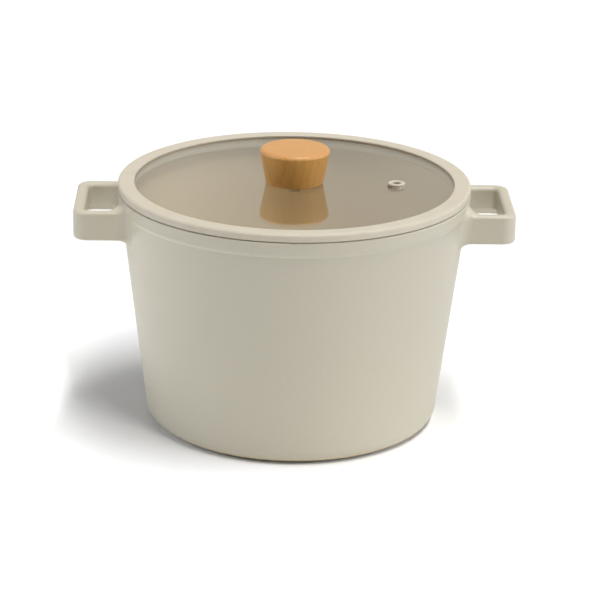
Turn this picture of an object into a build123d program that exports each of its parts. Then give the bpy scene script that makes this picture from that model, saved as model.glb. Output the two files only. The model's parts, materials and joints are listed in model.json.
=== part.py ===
"""Deep saucepan with a flat glass lid: cast pot with two loop handles, silicone-rimmed lid, turned wooden knob.

Millimetres, +Z up, origin at the centre of the base on the table. The loop handles lie along X.
"""

import os
from math import cos, hypot, radians, sin

from build123d import *

# ---- pot -------------------------------------------------------------------------------------
MOUTH_R = 120.0  # bore of the mouth: a 24 cm pot
RIM_R = 125.0  # outside of the rim
POT_H = 169.0  # rim plane above the table
BASE_EDGE_R = 103.9  # where the sloping wall would meet the table
WALL_TOP_R = 124.4  # where the sloping wall would meet the rim plane
BASE_CORNER = 11.0  # outer radius between wall and base
BASE_T = 5.0
WALL_T = 3.4
INNER_CORNER = 14.0
SEAT_BLEND = 6.0  # between the sloping wall and the straight bore at the mouth
COLLAR_H = 11.2  # raised band below the rim
COLLAR_BLEND = 2.6  # height of the step from wall to band
COLLAR_STEP_R = 2.5
COLLAR_DRAFT = 0.5  # the band is this much smaller at its foot
RIM_EDGE = 1.1

# ---- loop handles, cast in one with the pot ---------------------------------------------------
HANDLE_END_X = 155.0
HANDLE_HALF_Y = 38.3
HANDLE_TOP_Z = 161.5
HANDLE_T = 21.1
HANDLE_SIDE_BAR = 7.6
HANDLE_END_BAR = 8.0
HANDLE_CORNER = 9.5
HANDLE_HOLE_CORNER = 3.5
HANDLE_EDGE = 2.4
HANDLE_HOLE_EDGE = 3.2
HANDLE_RELIEF_H = 5.2  # the finger hole opens out towards its underside
HANDLE_RELIEF_W = 4.4
HANDLE_RELIEF_START_X = 122.5  # clear of the wall
HANDLE_ROOT = 10.0  # fillet where a bar runs into the wall
HANDLE_START_X = 104.0  # the bars begin inside the pot and are trimmed by its hollow

# ---- steel plate in the base -------------------------------------------------------------------
PLATE_R = 82.0
PLATE_T = 0.8
PLATE_GAP = 0.05
KEY_R = 2.6  # holes that the cast base keys into
KEY_RINGS = 5
KEY_PITCH = 14.0

# ---- lid ----------------------------------------------------------------------------------------
GLASS_T = 4.0
GLASS_R = 118.3
GLASS_EDGE = 0.6
GLASS_LIFT = 0.6  # silicone under the glass where it passes over the rim
RING_R = 124.8
RING_LIP_R = 113.2  # inner edge of the lip on top of the glass
RING_LIP_T = 1.4
RING_CHANNEL_R = 118.5
RING_EDGE = 1.9
RING_LIP_EDGE = 0.6
SEAM_DEPTH = 1.7  # shadow gap between ring and rim
SEAM_H = 0.6
SKIRT_R = 119.0
SKIRT_FOOT_R = 118.4
SKIRT_BORE_R = 114.5
SKIRT_H = 6.0

GLASS_Z = POT_H + GLASS_LIFT
GLASS_TOP = GLASS_Z + GLASS_T

# ---- steam vent ---------------------------------------------------------------------------------
VENT_AT_R = 72.2
VENT_ANGLE = -4.5  # degrees from +X
VENT_BORE_R = 3.0
VENT_HOLE_R = 5.0
VENT_NECK_R = 4.9
VENT_FLANGE_R = 6.2
VENT_FLANGE_T = 2.0
VENT_FOOT_T = 1.6
VENT_EDGE = 0.8

# ---- knob and what holds it ---------------------------------------------------------------------
KNOB_TOP_R = 25.2
KNOB_FOOT_R = 20.4
KNOB_GAP = 0.6  # between the knob's foot and the glass
KNOB_TOP_Z = 199.0
KNOB_CROWN = 0.4
KNOB_TOP_EDGE = 2.5
KNOB_FOOT_EDGE = 0.7
GASKET_R = 15.0
GASKET_BORE_R = 6.0
GASKET_T = 1.8
INSERT_R = 3.5
INSERT_L = 12.0
INSERT_GROOVE = 0.35
INSERT_GROOVES = 3
THREAD_R = 2.5
SCREW_R = 2.45
SCREW_SIZE_GAP = 0.2
SHAFT_HOLE_R = 5.0
SLEEVE_R = 4.9
SLEEVE_BORE_R = 2.8
SLEEVE_FLANGE_R = 9.0
SLEEVE_FLANGE_T = 1.0
WASHER_R = 8.5
WASHER_T = 1.0
SPRING_R = 4.6
SPRING_T = 1.0
SPRING_SPLIT = 0.9
HEAD_R = 4.75
HEAD_H = 2.4
HEAD_EDGE = 1.1
CROSS_L = 5.0
CROSS_W = 1.2
CROSS_DEPTH = 1.4
SCREW_ABOVE_GASKET = 10.0


def wall_r(z):
    """Outer radius of the sloping wall at height z."""
    return BASE_EDGE_R + (WALL_TOP_R - BASE_EDGE_R) * z / POT_H


def turned(outline, corners=None):
    """Solid of revolution from an (r, z) outline. corners maps a point's number to its fillet radius."""
    face = make_face(Polyline([(r, z) for r, z in outline], close=True))
    rounded = corners or {}
    for radius in sorted(set(rounded.values())):
        points = [outline[i] for i, value in rounded.items() if value == radius]
        found = [v for v in face.vertices() if any(hypot(v.X - r, v.Y - z) < 1e-6 for r, z in points)]
        face = fillet(found, radius)
    return revolve(Plane.XZ * face, Axis.Z)


def tube(outer_r, bore_r, z, height):
    """Plain ring or disc standing on height z."""
    solid = Pos(0, 0, z) * Cylinder(outer_r, height, align=(Align.CENTER, Align.CENTER, Align.MIN))
    if bore_r:
        solid -= Pos(0, 0, z) * Cylinder(bore_r, height, align=(Align.CENTER, Align.CENTER, Align.MIN))
    return solid


# ---- pot ------------------------------------------------------------------------------------------
def loop_handle():
    """The +X loop: a U of rounded bars, its open end inside the wall."""
    foot_z = HANDLE_TOP_Z - HANDLE_T
    hole_x, hole_y = HANDLE_END_X - HANDLE_END_BAR, HANDLE_HALF_Y - HANDLE_SIDE_BAR

    def slab(half_x, half_y, corner):
        plan = Rectangle(2 * half_x, 2 * half_y)
        return extrude(Pos(0, 0, foot_z) * fillet(plan.vertices(), corner), HANDLE_T)

    def rim_edges(solid):
        """Edges in the loop's top and bottom planes, leaving out the cut through its open end."""
        return [
            e
            for e in solid.edges()
            if abs(e.bounding_box().size.Z) < 1e-6 and (e @ 0.5).X > HANDLE_START_X + 1e-3
        ]

    start = Pos(HANDLE_START_X, 0, foot_z) * Box(
        HANDLE_END_X, 4 * HANDLE_HALF_Y, HANDLE_T, align=(Align.MIN, Align.CENTER, Align.MIN)
    )
    loop = slab(HANDLE_END_X, HANDLE_HALF_Y, HANDLE_CORNER) & start
    loop = fillet(rim_edges(loop), HANDLE_EDGE)
    loop -= slab(hole_x, hole_y, HANDLE_HOLE_CORNER)
    inner_edges = [
        e
        for e in rim_edges(loop)
        if abs((e @ 0.5).Y) < hole_y + 1e-3 and (e @ 0.5).X < hole_x + 1e-3
    ]
    return fillet(inner_edges, HANDLE_HOLE_EDGE)


def hole_relief():
    """Tapered cut that widens the +X loop's hole at its underside."""
    foot_z = HANDLE_TOP_Z - HANDLE_T
    hole_x, hole_y = HANDLE_END_X - HANDLE_END_BAR, HANDLE_HALF_Y - HANDLE_SIDE_BAR

    def outline(spread, z):
        start_x = HANDLE_RELIEF_START_X + HANDLE_RELIEF_W - spread
        plan = Rectangle(hole_x + spread - start_x, 2 * (hole_y + spread), align=(Align.MIN, Align.CENTER))
        return Pos(start_x, 0, z) * fillet(plan.vertices(), HANDLE_HOLE_CORNER + spread)

    return loft(
        [outline(HANDLE_RELIEF_W, foot_z), outline(0, foot_z + HANDLE_RELIEF_H)],
        ruled=True,
    )


def cast_body():
    """Outside of the pot as one solid block with both handles grown into its wall."""
    block = turned([(0, 0), (BASE_EDGE_R, 0), (WALL_TOP_R, POT_H), (0, POT_H)], {1: BASE_CORNER})
    right = loop_handle()
    block += right
    block += Rot(0, 0, 180) * right
    on_wall = []
    for e in block.edges():
        p = e @ 0.5
        if HANDLE_TOP_Z - HANDLE_T - 1 < p.Z < HANDLE_TOP_Z + 1 and abs(hypot(p.X, p.Y) - wall_r(p.Z)) < 0.02:
            on_wall.append(e)
    block = fillet(on_wall, HANDLE_ROOT)
    relief = hole_relief()
    block -= relief
    return block - Rot(0, 0, 180) * relief


def collar():
    """Raised band below the rim, with a soft step at its foot."""
    foot = POT_H - COLLAR_H
    return turned(
        [
            (MOUTH_R - 1, foot),
            (wall_r(foot), foot),
            (RIM_R - COLLAR_DRAFT, foot + COLLAR_BLEND),
            (RIM_R, POT_H),
            (MOUTH_R - 1, POT_H),
        ],
        {2: COLLAR_STEP_R},
    )


def hollow():
    """What is cooked in: flat floor, round corner, sloping wall, and a straight bore for the lid's skirt."""
    floor_r = wall_r(BASE_T) - WALL_T
    lean = (WALL_TOP_R - BASE_EDGE_R) / POT_H
    seat_foot = BASE_T + (MOUTH_R - floor_r) / lean
    above = POT_H + RIM_EDGE
    return turned(
        [(0, BASE_T), (floor_r, BASE_T), (MOUTH_R, seat_foot), (MOUTH_R, above), (0, above)],
        {1: INNER_CORNER, 2: SEAT_BLEND},
    )


def key_places():
    """Rings of places where the base keys through the steel plate."""
    places = [(0.0, 0.0)]
    for ring in range(1, KEY_RINGS + 1):
        count = 6 * ring
        for k in range(count):
            a = radians(360.0 * k / count)
            places.append((ring * KEY_PITCH * cos(a), ring * KEY_PITCH * sin(a)))
    return places


def keys(radius):
    return [Pos(x, y, 0) * Cylinder(radius, PLATE_T, align=(Align.CENTER, Align.CENTER, Align.MIN))
            for x, y in key_places()]


def pot_body():
    pot = cast_body() + collar()
    pot -= hollow()
    rim = [e for e in pot.edges() if abs((e @ 0.5).Z - POT_H) < 1e-6]
    pot = fillet(rim, RIM_EDGE)
    pot -= tube(PLATE_R + PLATE_GAP, 0, 0, PLATE_T)
    return pot + keys(KEY_R - PLATE_GAP)


def induction_plate():
    return tube(PLATE_R, 0, 0, PLATE_T) - keys(KEY_R)


# ---- lid --------------------------------------------------------------------------------------------
def silicone_rim():
    top = GLASS_TOP + RING_LIP_T
    return turned(
        [
            (RING_LIP_R, top),
            (RING_R, top),
            (RING_R, POT_H + SEAM_H),
            (RING_R - SEAM_DEPTH, POT_H + SEAM_H),
            (RING_R - SEAM_DEPTH, POT_H),
            (SKIRT_R, POT_H),
            (SKIRT_FOOT_R, POT_H - SKIRT_H),
            (SKIRT_BORE_R, POT_H - SKIRT_H),
            (SKIRT_BORE_R, GLASS_Z),
            (RING_CHANNEL_R, GLASS_Z),
            (RING_CHANNEL_R, GLASS_TOP),
            (RING_LIP_R, GLASS_TOP),
        ],
        {0: RING_LIP_EDGE, 1: RING_EDGE, 2: 0.4, 6: 1.0, 7: 1.0},
    )


def vent_place():
    return Pos(VENT_AT_R * cos(radians(VENT_ANGLE)), VENT_AT_R * sin(radians(VENT_ANGLE)), 0)


def glass_disc():
    glass = turned(
        [(0, GLASS_Z), (GLASS_R, GLASS_Z), (GLASS_R, GLASS_TOP), (0, GLASS_TOP)],
        {1: GLASS_EDGE, 2: GLASS_EDGE},
    )
    glass -= tube(SHAFT_HOLE_R, 0, GLASS_Z, GLASS_T)
    return glass - vent_place() * tube(VENT_HOLE_R, 0, GLASS_Z, GLASS_T)


def vent_grommet():
    foot, top = GLASS_Z - VENT_FOOT_T, GLASS_TOP + VENT_FLANGE_T
    return vent_place() * turned(
        [
            (VENT_BORE_R, foot),
            (VENT_FLANGE_R, foot),
            (VENT_FLANGE_R, GLASS_Z),
            (VENT_NECK_R, GLASS_Z),
            (VENT_NECK_R, GLASS_TOP),
            (VENT_FLANGE_R, GLASS_TOP),
            (VENT_FLANGE_R, top),
            (VENT_BORE_R, top),
        ],
        {1: VENT_EDGE, 6: VENT_EDGE, 7: VENT_EDGE},
    )


# ---- knob ---------------------------------------------------------------------------------------------
GASKET_TOP = GLASS_TOP + GASKET_T


def wooden_knob():
    """Turned knob: narrower at its foot, slightly crowned, recessed underneath for the gasket and the insert."""
    foot = GLASS_TOP + KNOB_GAP
    crown_edge = KNOB_TOP_Z - KNOB_CROWN
    knob = turned(
        [(0, foot), (KNOB_FOOT_R, foot), (KNOB_TOP_R, crown_edge), (0, crown_edge)],
        {1: KNOB_FOOT_EDGE},
    )
    ball_r = (KNOB_TOP_R**2 + KNOB_CROWN**2) / (2 * KNOB_CROWN)
    cap = Pos(0, 0, KNOB_TOP_Z - ball_r) * Sphere(ball_r)
    cap &= tube(KNOB_TOP_R, 0, crown_edge, 2 * KNOB_CROWN)
    knob += cap
    rim = [e for e in knob.edges() if abs((e @ 0.5).Z - crown_edge) < 1e-3]
    knob = fillet(rim, KNOB_TOP_EDGE)
    knob -= tube(GASKET_R + 0.5, 0, foot, GASKET_TOP - foot)
    return knob - tube(INSERT_R, 0, GASKET_TOP, INSERT_L + 2)


def knob_insert():
    """Brass insert pressed into the wood, with rings cut round it for grip."""
    insert = tube(INSERT_R, THREAD_R, GASKET_TOP, INSERT_L)
    pitch = INSERT_L / (INSERT_GROOVES + 1)
    for k in range(1, INSERT_GROOVES + 1):
        z = GASKET_TOP + k * pitch
        insert -= tube(INSERT_R + 1, INSERT_R - INSERT_GROOVE, z, pitch / 3)
    return insert


def knob_gasket():
    return tube(GASKET_R, GASKET_BORE_R, GLASS_TOP, GASKET_T)


SLEEVE_FOOT = GLASS_Z - SLEEVE_FLANGE_T
WASHER_FOOT = SLEEVE_FOOT - WASHER_T
SPRING_FOOT = WASHER_FOOT - SPRING_T


def glass_sleeve():
    """Soft bush that keeps the screw and the washer off the glass."""
    return tube(SLEEVE_FLANGE_R, SLEEVE_BORE_R, SLEEVE_FOOT, SLEEVE_FLANGE_T) + tube(
        SLEEVE_R, SLEEVE_BORE_R, GLASS_Z, GLASS_T
    )


def knob_washer():
    washer = tube(WASHER_R, SCREW_R + SCREW_SIZE_GAP, WASHER_FOOT, WASHER_T)
    foot = washer.edges().filter_by(lambda e: e.bounding_box().size.X > 2 * WASHER_R - 1).sort_by(Axis.Z)[0]
    return fillet(foot, 0.5)


def spring_washer():
    washer = tube(SPRING_R, SCREW_R + SCREW_SIZE_GAP, SPRING_FOOT, SPRING_T)
    split = Box(SPRING_R + 1, SPRING_SPLIT, SPRING_T, align=(Align.MIN, Align.CENTER, Align.MIN))
    return washer - Pos(0, 0, SPRING_FOOT) * Rot(0, 0, 35) * split


def knob_screw():
    """Pan-head screw, head down inside the pot, shank up through the glass into the insert."""
    head_foot = SPRING_FOOT - HEAD_H
    tip = GASKET_TOP + SCREW_ABOVE_GASKET
    screw = turned(
        [(0, head_foot), (HEAD_R, head_foot), (HEAD_R, SPRING_FOOT), (SCREW_R, SPRING_FOOT), (SCREW_R, tip), (0, tip)],
        {1: HEAD_EDGE, 4: 0.5},
    )
    for turn in (0, 90):
        slot = Box(CROSS_L, CROSS_W, CROSS_DEPTH, align=(Align.CENTER, Align.CENTER, Align.MIN))
        screw -= Pos(0, 0, head_foot) * Rot(0, 0, turn) * slot
    return screw


PARTS = [
    pot_body,
    induction_plate,
    silicone_rim,
    glass_disc,
    vent_grommet,
    wooden_knob,
    knob_insert,
    knob_gasket,
    glass_sleeve,
    knob_washer,
    spring_washer,
    knob_screw,
]

if __name__ == "__main__":
    os.makedirs("parts", exist_ok=True)
    for make in PARTS:
        export_step(make(), f"parts/{make.__name__}.step")
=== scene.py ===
"""Studio scene for the deep saucepan: detailed materials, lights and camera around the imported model."""

import json
import math

import bpy
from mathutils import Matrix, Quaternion, Vector


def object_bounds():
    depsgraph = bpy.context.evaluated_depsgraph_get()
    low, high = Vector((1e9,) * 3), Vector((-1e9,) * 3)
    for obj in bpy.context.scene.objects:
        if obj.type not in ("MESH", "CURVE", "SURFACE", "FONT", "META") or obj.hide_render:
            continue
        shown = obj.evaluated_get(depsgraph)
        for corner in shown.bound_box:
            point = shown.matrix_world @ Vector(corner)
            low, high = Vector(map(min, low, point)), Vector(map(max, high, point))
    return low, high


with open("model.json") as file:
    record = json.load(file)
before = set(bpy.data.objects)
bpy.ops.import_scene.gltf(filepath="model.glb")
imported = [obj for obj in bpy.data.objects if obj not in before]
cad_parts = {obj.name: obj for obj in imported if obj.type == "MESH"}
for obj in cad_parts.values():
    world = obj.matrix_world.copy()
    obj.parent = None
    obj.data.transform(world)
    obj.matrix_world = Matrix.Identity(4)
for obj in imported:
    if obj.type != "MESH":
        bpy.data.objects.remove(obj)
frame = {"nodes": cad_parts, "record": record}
cad_low, cad_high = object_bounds()

# ---- camera: a long lens, slightly above and a little to the left of the pot's front ---------------
CAMERA_LENS = 157.5
SENSOR = 36.0
CAMERA_DISTANCE = 1.863
CAMERA_ELEVATION = math.radians(19.6)
CAMERA_AZIMUTH = math.radians(-1.33)
CAMERA_ROLL = math.radians(1.0)
CAMERA_SHIFT_X = 0.0059
LOOK_AT_SHARE = 0.441  # height looked at, as a share of the object's height

# ---- colours, linear ---------------------------------------------------------------------------------
CREAM = (0.56, 0.52, 0.41)
CREAM_WARM = (0.575, 0.53, 0.41)
INSIDE = (0.68, 0.548, 0.355)
INSIDE_WARM = (0.70, 0.562, 0.362)
SILICONE = (0.60, 0.54, 0.43)
SILICONE_DEEP = (0.57, 0.515, 0.405)
WOOD_LIGHT = (0.86, 0.47, 0.128)
WOOD_MID = (0.80, 0.415, 0.102)
WOOD_DARK = (0.68, 0.32, 0.075)
# painted shade: a darker, less orange tint laid over the knob's top face
TOP_PAINTED_SHADE = (0.79, 0.75, 0.92)
STEEL = (0.58, 0.57, 0.55)
STEEL_DARK = (0.40, 0.395, 0.385)
BRASS = (0.70, 0.50, 0.19)
CLEAR_SILICONE = (0.50, 0.475, 0.42)
FLOOR = (0.96, 0.96, 0.955)

# ---- where one colour ends and the next begins, metres -------------------------------------------------
MID_WALL_FOOT_R = 0.1022  # halfway through the pot's wall, at its foot and at its rim
MID_WALL_TOP_R = 0.1227
MID_WALL_BLEND = 0.0003
RIM_Z = 0.169
RIM_EDGE = (0.0016, 0.0008)  # below the rim: the beige inside starts to end, and has ended
INSIDE_FLOOR = (0.002, 0.003)  # above the table, within the thickness of the base
KNOB_TOP_Z = 0.199
TOP_SHADE_EDGE = (0.0028, 0.0012)  # below the knob's top: the painted shade on its top face begins, and is full


# ---- materials ------------------------------------------------------------------------------------------
class Nodes:
    """A new node material with short ways to add and link nodes."""

    def __init__(self, name):
        self.material = bpy.data.materials.new(name)
        self.material.use_nodes = True
        self.tree = self.material.node_tree
        self.tree.nodes.clear()
        self.output = self.add("ShaderNodeOutputMaterial")
        self.place = self.add("ShaderNodeTexCoord").outputs["Object"]

    def add(self, kind, **settings):
        node = self.tree.nodes.new(kind)
        for key, value in settings.items():
            setattr(node, key, value)
        return node

    def put(self, socket, value):
        """Sets a socket, or links it if the value is another node's output."""
        if isinstance(value, bpy.types.NodeSocket):
            self.tree.links.new(value, socket)
        elif isinstance(value, tuple) and len(value) == 3 and socket.type == "RGBA":
            socket.default_value = (*value, 1.0)
        else:
            socket.default_value = value

    def stretch(self, scale, offset=(0, 0, 0)):
        """Object coordinates, in metres, scaled and moved."""
        mapping = self.add("ShaderNodeMapping")
        self.put(mapping.inputs["Vector"], self.place)
        mapping.inputs["Scale"].default_value = scale
        mapping.inputs["Location"].default_value = offset
        return mapping.outputs["Vector"]

    def noise(self, scale, detail=3.0, rough=0.5, distortion=0.0, vector=None):
        node = self.add("ShaderNodeTexNoise")
        self.put(node.inputs["Vector"], self.place if vector is None else vector)
        self.put(node.inputs["Scale"], scale)
        self.put(node.inputs["Detail"], detail)
        self.put(node.inputs["Roughness"], rough)
        self.put(node.inputs["Distortion"], distortion)
        return node.outputs["Fac"]

    def ramp(self, value, *stops):
        """Colour ramp. Each stop is (position, colour)."""
        node = self.add("ShaderNodeValToRGB")
        self.put(node.inputs["Fac"], value)
        elements = node.color_ramp.elements
        while len(elements) < len(stops):
            elements.new(0.5)
        for element, (position, colour) in zip(elements, stops):
            element.position = position
            element.color = (*colour, 1.0)
        return node.outputs["Color"]

    def rescale(self, value, low, high, from_low=0.0, from_high=1.0):
        node = self.add("ShaderNodeMapRange")
        self.put(node.inputs["Value"], value)
        limits = {"From Min": from_low, "From Max": from_high, "To Min": low, "To Max": high}
        for name, number in limits.items():
            self.put(node.inputs[name], number)
        return node.outputs["Result"]

    def math(self, operation, a, b):
        node = self.add("ShaderNodeMath", operation=operation)
        self.put(node.inputs[0], a)
        self.put(node.inputs[1], b)
        return node.outputs["Value"]

    def mix(self, factor, a, b, blend="MIX"):
        node = self.add("ShaderNodeMix", data_type="RGBA", blend_type=blend)
        self.put(node.inputs["Factor"], factor)
        self.put(node.inputs["A"], a)
        self.put(node.inputs["B"], b)
        return node.outputs["Result"]

    def bump(self, height, distance, strength=1.0, after=None):
        """Relief of the given depth in metres."""
        node = self.add("ShaderNodeBump")
        self.put(node.inputs["Height"], height)
        self.put(node.inputs["Distance"], distance)
        self.put(node.inputs["Strength"], strength)
        if after is not None:
            self.put(node.inputs["Normal"], after)
        return node.outputs["Normal"]

    def principled(self, **sockets):
        shader = self.add("ShaderNodeBsdfPrincipled")
        for name, value in sockets.items():
            self.put(shader.inputs[name.replace("_", " ")], value)
        self.tree.links.new(shader.outputs["BSDF"], self.output.inputs["Surface"])
        return shader


def coating():
    """Satin baked coating, off-white outside and beige inside: faint clouds, fine speckle, orange peel."""
    n = Nodes("satin_cream_coating")
    place = n.add("ShaderNodeSeparateXYZ")
    n.put(place.inputs["Vector"], n.place)
    flat = n.add("ShaderNodeVectorMath", operation="LENGTH")
    n.put(flat.inputs[0], n.stretch((1.0, 1.0, 0.0)))
    middle_r = n.rescale(place.outputs["Z"], MID_WALL_FOOT_R, MID_WALL_TOP_R, 0.0, RIM_Z)
    depth = n.math("SUBTRACT", middle_r, flat.outputs["Value"])
    inside = n.rescale(depth, 0.0, 1.0, -MID_WALL_BLEND, MID_WALL_BLEND)
    below_rim = n.rescale(place.outputs["Z"], 1.0, 0.0, RIM_Z - RIM_EDGE[0], RIM_Z - RIM_EDGE[1])
    above_floor = n.rescale(place.outputs["Z"], 0.0, 1.0, *INSIDE_FLOOR)
    inside = n.math("MULTIPLY", n.math("MULTIPLY", inside, below_rim), above_floor)
    outer = n.ramp(n.noise(7.0, 2.0), (0.35, CREAM), (0.65, CREAM_WARM))
    inner = n.ramp(n.noise(9.0, 2.0), (0.35, INSIDE), (0.65, INSIDE_WARM))
    clouds = n.mix(inside, outer, inner)
    speckle = n.ramp(n.noise(1400.0, 2.0, 0.6), (0.3, (0.93, 0.93, 0.925)), (0.7, (1.0, 1.0, 1.0)))
    colour = n.mix(1.0, clouds, speckle, "MULTIPLY")
    peel = n.bump(n.noise(420.0, 2.0, 0.45), 0.00005, 0.5)
    grain = n.bump(n.noise(2600.0, 2.0, 0.6), 0.00002, 0.5, peel)
    gloss = n.rescale(n.noise(55.0, 3.0, 0.55), 0.40, 0.50)
    n.principled(Base_Color=colour, Roughness=gloss, Normal=grain, Specular_IOR_Level=0.62)
    return n.material


def silicone():
    """Warm off-white silicone: soft, faintly see-through at its edges, with a fine moulded skin."""
    n = Nodes("cream_silicone")
    colour = n.ramp(n.noise(60.0, 3.0), (0.3, SILICONE_DEEP), (0.6, SILICONE))
    skin = n.bump(n.noise(1800.0, 3.0, 0.6), 0.00002, 0.6)
    gloss = n.rescale(n.noise(120.0, 3.0), 0.46, 0.58)
    n.principled(
        Base_Color=colour,
        Roughness=gloss,
        Normal=skin,
        Specular_IOR_Level=0.4,
        Subsurface_Weight=0.12,
        Subsurface_Radius=(0.0030, 0.0022, 0.0014),
        Subsurface_Scale=1.0,
    )
    return n.material


def clear_silicone():
    """Greyish translucent silicone of the gasket and the bush."""
    n = Nodes("clear_silicone")
    low = tuple(0.8 * c for c in CLEAR_SILICONE)
    colour = n.ramp(n.noise(300.0, 3.0), (0.3, low), (0.7, CLEAR_SILICONE))
    skin = n.bump(n.noise(2200.0, 2.0), 0.00002, 0.5)
    n.principled(
        Base_Color=colour,
        Roughness=n.rescale(n.noise(400.0), 0.35, 0.5),
        Normal=skin,
        Subsurface_Weight=0.3,
        Subsurface_Radius=(0.002, 0.002, 0.0018),
        Subsurface_Scale=1.0,
    )
    return n.material


def wood():
    """Oiled light-brown hardwood, its grain upright in the knob: rings on top, streaks down the side, and
    painted shade darkening the top face.
    """
    n = Nodes("oiled_turned_wood")
    sway = n.stretch((1.0, 1.0, 0.12))
    bend = n.add("ShaderNodeVectorMath", operation="SCALE")
    warp = n.add("ShaderNodeTexNoise")
    n.put(warp.inputs["Vector"], sway)
    n.put(warp.inputs["Scale"], 55.0)
    n.put(warp.inputs["Detail"], 2.0)
    n.put(bend.inputs[0], warp.outputs["Color"])
    bend.inputs["Scale"].default_value = 0.012
    moved = n.add("ShaderNodeVectorMath", operation="ADD")
    n.put(moved.inputs[0], n.stretch((1.0, 1.0, 0.06), (0.034, 0.047, 0.0)))
    n.put(moved.inputs[1], bend.outputs["Vector"])
    rings = n.add("ShaderNodeTexWave", wave_type="RINGS", rings_direction="Z", wave_profile="SAW")
    n.put(rings.inputs["Vector"], moved.outputs["Vector"])
    n.put(rings.inputs["Scale"], 62.0)
    n.put(rings.inputs["Distortion"], 0.6)
    n.put(rings.inputs["Detail"], 2.0)
    n.put(rings.inputs["Detail Scale"], 1.5)
    year = n.ramp(rings.outputs["Fac"], (0.0, WOOD_LIGHT), (0.72, WOOD_MID), (1.0, WOOD_DARK))
    plain = n.mix(0.55, year, n.ramp(n.noise(28.0, 2.0, vector=sway), (0.3, WOOD_MID), (0.7, WOOD_LIGHT)))
    fibre = n.noise(900.0, 3.0, 0.6, vector=n.stretch((1.0, 1.0, 0.045)))
    streaks = n.ramp(fibre, (0.32, (0.92, 0.90, 0.86)), (0.62, (1.0, 1.0, 1.0)))
    dots = n.noise(2400.0, 1.0, 0.5, vector=n.stretch((1.0, 1.0, 0.07)))
    pores = n.ramp(dots, (0.30, (0.80, 0.75, 0.68)), (0.37, (1.0, 1.0, 1.0)))
    colour = n.mix(1.0, n.mix(0.8, plain, streaks, "MULTIPLY"), pores, "MULTIPLY")
    height = n.add("ShaderNodeSeparateXYZ")
    n.put(height.inputs["Vector"], n.place)
    # Painted shade: the knob's top face, lit from above, is darkened so it sits closer to the side's tone
    top_shade = n.rescale(height.outputs["Z"], 0.0, 1.0, KNOB_TOP_Z - TOP_SHADE_EDGE[0], KNOB_TOP_Z - TOP_SHADE_EDGE[1])
    colour = n.mix(top_shade, colour, n.mix(1.0, colour, TOP_PAINTED_SHADE, "MULTIPLY"))
    relief = n.bump(fibre, 0.00006, 0.5)
    gloss = n.rescale(fibre, 0.50, 0.38)
    n.principled(
        Base_Color=colour,
        Roughness=gloss,
        Normal=relief,
        Specular_IOR_Level=0.45,
        Coat_Weight=0.12,
        Coat_Roughness=0.28,
    )
    return n.material


def glass():
    """Clear tempered glass. Lamps and scattered light pass it straight, so the pot's inside is lit."""
    n = Nodes("tempered_glass")
    clear = n.add("ShaderNodeBsdfGlass")
    smears = n.rescale(n.noise(35.0, 4.0, 0.6), 0.0, 0.035, 0.45, 0.8)
    n.put(clear.inputs["Roughness"], smears)
    n.put(clear.inputs["Color"], (0.975, 0.985, 0.975))
    clear.inputs["IOR"].default_value = 1.5
    straight = n.add("ShaderNodeBsdfTransparent")
    n.put(straight.inputs["Color"], (0.93, 0.935, 0.93))
    path = n.add("ShaderNodeLightPath")
    either = n.math("MAXIMUM", path.outputs["Is Shadow Ray"], path.outputs["Is Diffuse Ray"])
    mixed = n.add("ShaderNodeMixShader")
    n.put(mixed.inputs["Fac"], either)
    n.put(mixed.inputs[1], clear.outputs["BSDF"])
    n.put(mixed.inputs[2], straight.outputs["BSDF"])
    n.put(n.output.inputs["Surface"], mixed.outputs["Shader"])
    return n.material


def turned_steel(name, line_scale, colour=STEEL, dark=STEEL_DARK):
    """Stainless steel with fine turned rings round the vertical axis."""
    n = Nodes(name)
    flat = n.add("ShaderNodeVectorMath", operation="LENGTH")
    n.put(flat.inputs[0], n.stretch((1.0, 1.0, 0.0)))
    lines = n.add("ShaderNodeTexNoise", noise_dimensions="1D")
    n.put(lines.inputs["W"], n.math("MULTIPLY", flat.outputs["Value"], line_scale))
    lines.inputs["Scale"].default_value = 1.0
    lines.inputs["Detail"].default_value = 3.0
    tone = n.ramp(lines.outputs["Fac"], (0.3, dark), (0.7, colour))
    relief = n.bump(lines.outputs["Fac"], 0.00001, 0.6)
    n.principled(
        Base_Color=tone,
        Metallic=1.0,
        Roughness=n.rescale(n.noise(30.0, 3.0), 0.26, 0.38),
        Normal=relief,
        Anisotropic=0.5,
    )
    return n.material


def brass():
    n = Nodes("machined_brass")
    dull = tuple(0.75 * c for c in BRASS)
    tone = n.ramp(n.noise(500.0, 3.0, vector=n.stretch((1.0, 1.0, 6.0))), (0.3, dull), (0.7, BRASS))
    n.principled(
        Base_Color=tone,
        Metallic=1.0,
        Roughness=n.rescale(n.noise(300.0), 0.25, 0.4),
        Normal=n.bump(n.noise(900.0, 2.0), 0.00001, 0.5),
    )
    return n.material


def floor_paint():
    n = Nodes("studio_floor")
    tone = n.ramp(n.noise(3.0), (0.4, tuple(0.99 * c for c in FLOOR)), (0.6, FLOOR))
    n.principled(Base_Color=tone, Roughness=0.7, Specular_IOR_Level=0.2)
    return n.material


MATERIALS = {
    "coated_casting": coating(),
    "cream_silicone": silicone(),
    "tempered_glass": glass(),
    "knob_wood": wood(),
    "clear_silicone": clear_silicone(),
    "insert_brass": brass(),
    "plate_steel": turned_steel("brushed_plate", 2600.0),
    "fastener_steel": turned_steel("bright_fastener", 6000.0),
}


def dress_nodes():
    """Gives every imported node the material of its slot."""
    slots = {part["node"]: part["material_slot"] for part in frame["record"]["subparts"]}
    for name, node in frame["nodes"].items():
        node.data.materials.clear()
        node.data.materials.append(MATERIALS[slots[name]])


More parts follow.
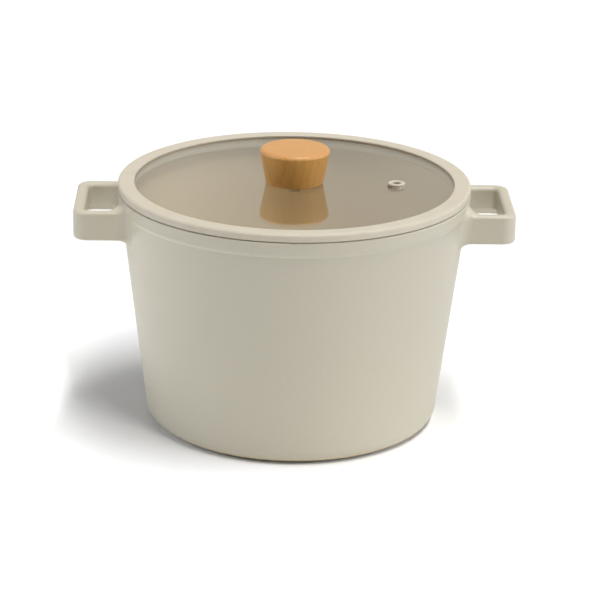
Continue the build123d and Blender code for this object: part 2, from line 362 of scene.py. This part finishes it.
# ---- stage, lights, camera -----------------------------------------------------------------------------
FLOOR_SIZE = 16.0
FLOOR_DROP = 0.0002  # the floor lies this far under the base
LAMP_DISTANCE = 2.5  # where a lamp's object stands; sunlight is the same from any distance
WHITE = (1.0, 0.995, 0.985)
COOL = (0.96, 1.0, 1.12)
# The key light is a long panel to the right, above the pot: a row of equal lamps from front to back
KEY_LEAN_X = 0.25  # sideways lean of its light, so a shadow falls a quarter of the height to the left
KEY_LEAN_FRONT = -0.5
KEY_LEAN_BACK = 0.1
KEY_LAMPS = 5
KEY_SPREAD = 10.0
KEY_STRENGTH = 0.54
# Each fill panel: name, the direction it shines from, spread (degrees), strength, colour
FILLS = (
    ("overhead", (0.0, 0.0, 1.0), 30.0, 0.35, WHITE),
    ("left", (-1.0, 0.0, 0.5), 40.0, 1.0, COOL),
    ("right", (1.0, -0.2, 0.4), 40.0, 1.1, COOL),
)
# A lamp straight above the floor on the left, clear of the pot, which washes out the left handle's shadow
FLOOR_LAMP = (-0.424, 0.035, 1.0)
FLOOR_LAMP_WATTS = 15.0
FLOOR_LAMP_RADIUS = 0.266  # of the round patch it lights
FLOOR_LAMP_BLEND = 0.12  # soft share of the patch's edge
FLOOR_LAMP_BULB = 0.002
ROOM_COLOUR = (1.0, 0.97, 0.89, 1.0)
REFLECTED_ROOM = 0.66  # brightness of the pale studio as the glass and other shiny surfaces mirror it


def make_floor():
    half = FLOOR_SIZE / 2
    mesh = bpy.data.meshes.new("floor")
    corners = [(-half, -half, 0), (half, -half, 0), (half, half, 0), (-half, half, 0)]
    mesh.from_pydata(corners, [], [(0, 1, 2, 3)])
    floor = bpy.data.objects.new("floor", mesh)
    floor.location.z = cad_low.z - FLOOR_DROP
    mesh.materials.append(floor_paint())
    bpy.context.scene.collection.objects.link(floor)


def sun(name, direction, spread, strength, colour):
    """A sun lamp that shines from the given direction towards the pot."""
    data = bpy.data.lights.new(name, "SUN")
    data.energy = strength
    data.angle = math.radians(spread)
    data.color = colour
    lamp = bpy.data.objects.new(name, data)
    towards = Vector(direction).normalized()
    lamp.location = LAMP_DISTANCE * towards
    lamp.rotation_mode = "QUATERNION"
    lamp.rotation_quaternion = (-towards).to_track_quat("-Z", "Y")
    bpy.context.scene.collection.objects.link(lamp)


def key_panel():
    """Equal lamps side by side, so the key light reads as one long soft panel."""
    step = (KEY_LEAN_BACK - KEY_LEAN_FRONT) / (KEY_LAMPS - 1)
    for k in range(KEY_LAMPS):
        direction = (KEY_LEAN_X, KEY_LEAN_FRONT + k * step, 1.0)
        sun(f"key_{k + 1}", direction, KEY_SPREAD, KEY_STRENGTH, WHITE)


def floor_lamp():
    data = bpy.data.lights.new("floor_lamp", "SPOT")
    data.energy = FLOOR_LAMP_WATTS
    data.color = WHITE
    data.shadow_soft_size = FLOOR_LAMP_BULB
    data.spot_size = 2.0 * math.atan2(FLOOR_LAMP_RADIUS, FLOOR_LAMP[2])
    data.spot_blend = FLOOR_LAMP_BLEND
    lamp = bpy.data.objects.new("floor_lamp", data)
    lamp.location = FLOOR_LAMP
    bpy.context.scene.collection.objects.link(lamp)


def make_lights():
    key_panel()
    for panel in FILLS:
        sun(*panel)
    floor_lamp()
    world = bpy.data.worlds.new("studio")
    world.use_nodes = True
    links, nodes = world.node_tree.links, world.node_tree.nodes
    path = nodes.new("ShaderNodeLightPath")
    mirrored = nodes.new("ShaderNodeMath")
    mirrored.operation = "MAXIMUM"
    links.new(path.outputs["Is Glossy Ray"], mirrored.inputs[0])
    links.new(path.outputs["Is Transmission Ray"], mirrored.inputs[1])
    strength = nodes.new("ShaderNodeMath")
    strength.operation = "MULTIPLY"
    links.new(mirrored.outputs["Value"], strength.inputs[0])
    strength.inputs[1].default_value = REFLECTED_ROOM
    background = nodes["Background"]
    background.inputs["Color"].default_value = ROOM_COLOUR
    links.new(strength.outputs["Value"], background.inputs["Strength"])
    bpy.context.scene.world = world


def make_camera():
    data = bpy.data.cameras.new("camera")
    data.lens = CAMERA_LENS
    data.sensor_width = SENSOR
    data.shift_x = CAMERA_SHIFT_X
    data.clip_end = 50.0
    camera = bpy.data.objects.new("camera", data)
    target = Vector((0.0, 0.0, LOOK_AT_SHARE * cad_high.z))
    flat = CAMERA_DISTANCE * math.cos(CAMERA_ELEVATION)
    away = Vector(
        (
            flat * math.sin(CAMERA_AZIMUTH),
            -flat * math.cos(CAMERA_AZIMUTH),
            CAMERA_DISTANCE * math.sin(CAMERA_ELEVATION),
        )
    )
    camera.location = target + away
    camera.rotation_mode = "QUATERNION"
    camera.rotation_quaternion = (-away).to_track_quat("-Z", "Y") @ Quaternion((0, 0, 1), CAMERA_ROLL)
    bpy.context.scene.collection.objects.link(camera)
    bpy.context.scene.camera = camera
    bpy.context.scene.view_settings.view_transform = "Standard"


make_camera()
make_floor()
make_lights()
dress_nodes()
